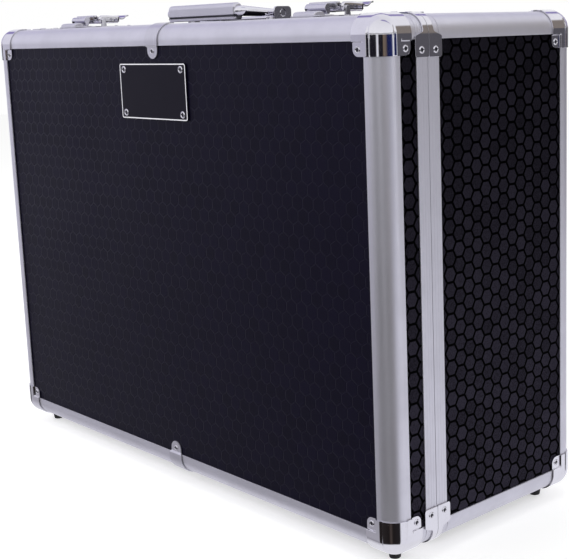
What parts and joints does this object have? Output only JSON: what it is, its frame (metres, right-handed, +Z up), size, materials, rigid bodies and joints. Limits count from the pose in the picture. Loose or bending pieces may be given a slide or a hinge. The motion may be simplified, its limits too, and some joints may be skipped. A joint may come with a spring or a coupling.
{
  "type": "flight case",
  "caption": "Aluminium flight case with black honeycomb panels, chrome ball corners, draw latches, a folding handle and a hinged lid.",
  "frame": {"origin": "on the ground under the middle of the case, which stands on its four feet", "axes": "+Z up towards the handle, +X along the width, -Y out of the lid's face"},
  "size_m": [0.6156, 0.2436, 0.4694],
  "materials": {
    "extrusion": "satin anodised extrusion",
    "chrome": "bright chrome plate on pressed steel",
    "satin": "satin nickel plate",
    "laminate": "plywood with a black laminate in a honeycomb pattern",
    "nameplate": "black plate with a thin silver line",
    "rubber": "black rubber",
    "foam": "charcoal foam lining"
  },
  "bodies": {
    "base": {"base_panel": "laminate", "base_wall": "laminate", "base_closing_frame": "extrusion", "base_foam": "foam", "base_edge_left": "extrusion", "base_foot_left": "rubber", "base_hinge_leaf_left": "satin", "base_edge_right": "extrusion", "base_foot_right": "rubber", "base_hinge_leaf_right": "satin", "base_corner_strip_top_left": "extrusion", "base_ball_corner_top_left": "chrome", "base_bracket_top_left": "chrome", "base_corner_strip_top_right": "extrusion", "base_ball_corner_top_right": "chrome", "base_bracket_top_right": "chrome", "base_corner_strip_bottom_left": "extrusion", "base_ball_corner_bottom_left": "chrome", "base_bracket_bottom_left": "chrome", "base_corner_strip_bottom_right": "extrusion", "base_ball_corner_bottom_right": "chrome", "base_bracket_bottom_right": "chrome", "base_clip_top": "chrome", "base_clip_bottom": "chrome", "latch_plate_left": "chrome", "latch_plate_right": "chrome", "handle_plate": "chrome"},
    "lid": {"lid_panel": "laminate", "lid_wall": "laminate", "lid_closing_frame": "extrusion", "lid_foam": "foam", "lid_edge_left": "extrusion", "lid_foot_left": "rubber", "lid_hinge_leaf_left": "satin", "lid_edge_right": "extrusion", "lid_foot_right": "rubber", "lid_hinge_leaf_right": "satin", "lid_corner_strip_top_left": "extrusion", "lid_ball_corner_top_left": "chrome", "lid_bracket_top_left": "chrome", "lid_corner_strip_top_right": "extrusion", "lid_ball_corner_top_right": "chrome", "lid_bracket_top_right": "chrome", "lid_corner_strip_bottom_left": "extrusion", "lid_ball_corner_bottom_left": "chrome", "lid_bracket_bottom_left": "chrome", "lid_corner_strip_bottom_right": "extrusion", "lid_ball_corner_bottom_right": "chrome", "lid_bracket_bottom_right": "chrome", "lid_clip_top": "chrome", "lid_clip_bottom": "chrome", "nameplate": "nameplate", "striker_left": "satin", "striker_right": "satin"},
    "handle": {"handle_bail": "chrome", "handle_grip": "satin"},
    "lever_left": {"latch_lever_left": "chrome"},
    "claw_left": {"latch_claw_left": "satin"},
    "lever_right": {"latch_lever_right": "chrome"},
    "claw_right": {"latch_claw_right": "satin"}
  },
  "joints": [
    {"name": "lid_hinge", "type": "hinge", "parent": "base", "child": "lid", "pos_m": [0, -0.0695, 0.0089], "axis": [1, 0, 0], "range_deg": [0, 100]},
    {"name": "handle_swing", "type": "hinge", "parent": "base", "child": "handle", "pos_m": [0, -0.017, 0.4589], "axis": [-1, 0, 0], "range_deg": [0, 100]},
    {"name": "latch_lever_left", "type": "hinge", "parent": "base", "child": "lever_left", "pos_m": [-0.191, -0.064, 0.4588], "axis": [1, 0, 0], "range_deg": [0, 100]},
    {"name": "latch_claw_left", "type": "hinge", "parent": "lever_left", "child": "claw_left", "pos_m": [-0.191, -0.054, 0.4597], "axis": [1, 0, 0], "range_deg": [-100, 0]},
    {"name": "latch_lever_right", "type": "hinge", "parent": "base", "child": "lever_right", "pos_m": [0.191, -0.064, 0.4588], "axis": [1, 0, 0], "range_deg": [0, 100]},
    {"name": "latch_claw_right", "type": "hinge", "parent": "lever_right", "child": "claw_right", "pos_m": [0.191, -0.054, 0.4597], "axis": [1, 0, 0], "range_deg": [-100, 0]}
  ],
  "couplings": [
    {"joint": "latch_claw_left", "follows": "latch_lever_left", "ratio": -1},
    {"joint": "latch_claw_right", "follows": "latch_lever_right", "ratio": -1}
  ]
}
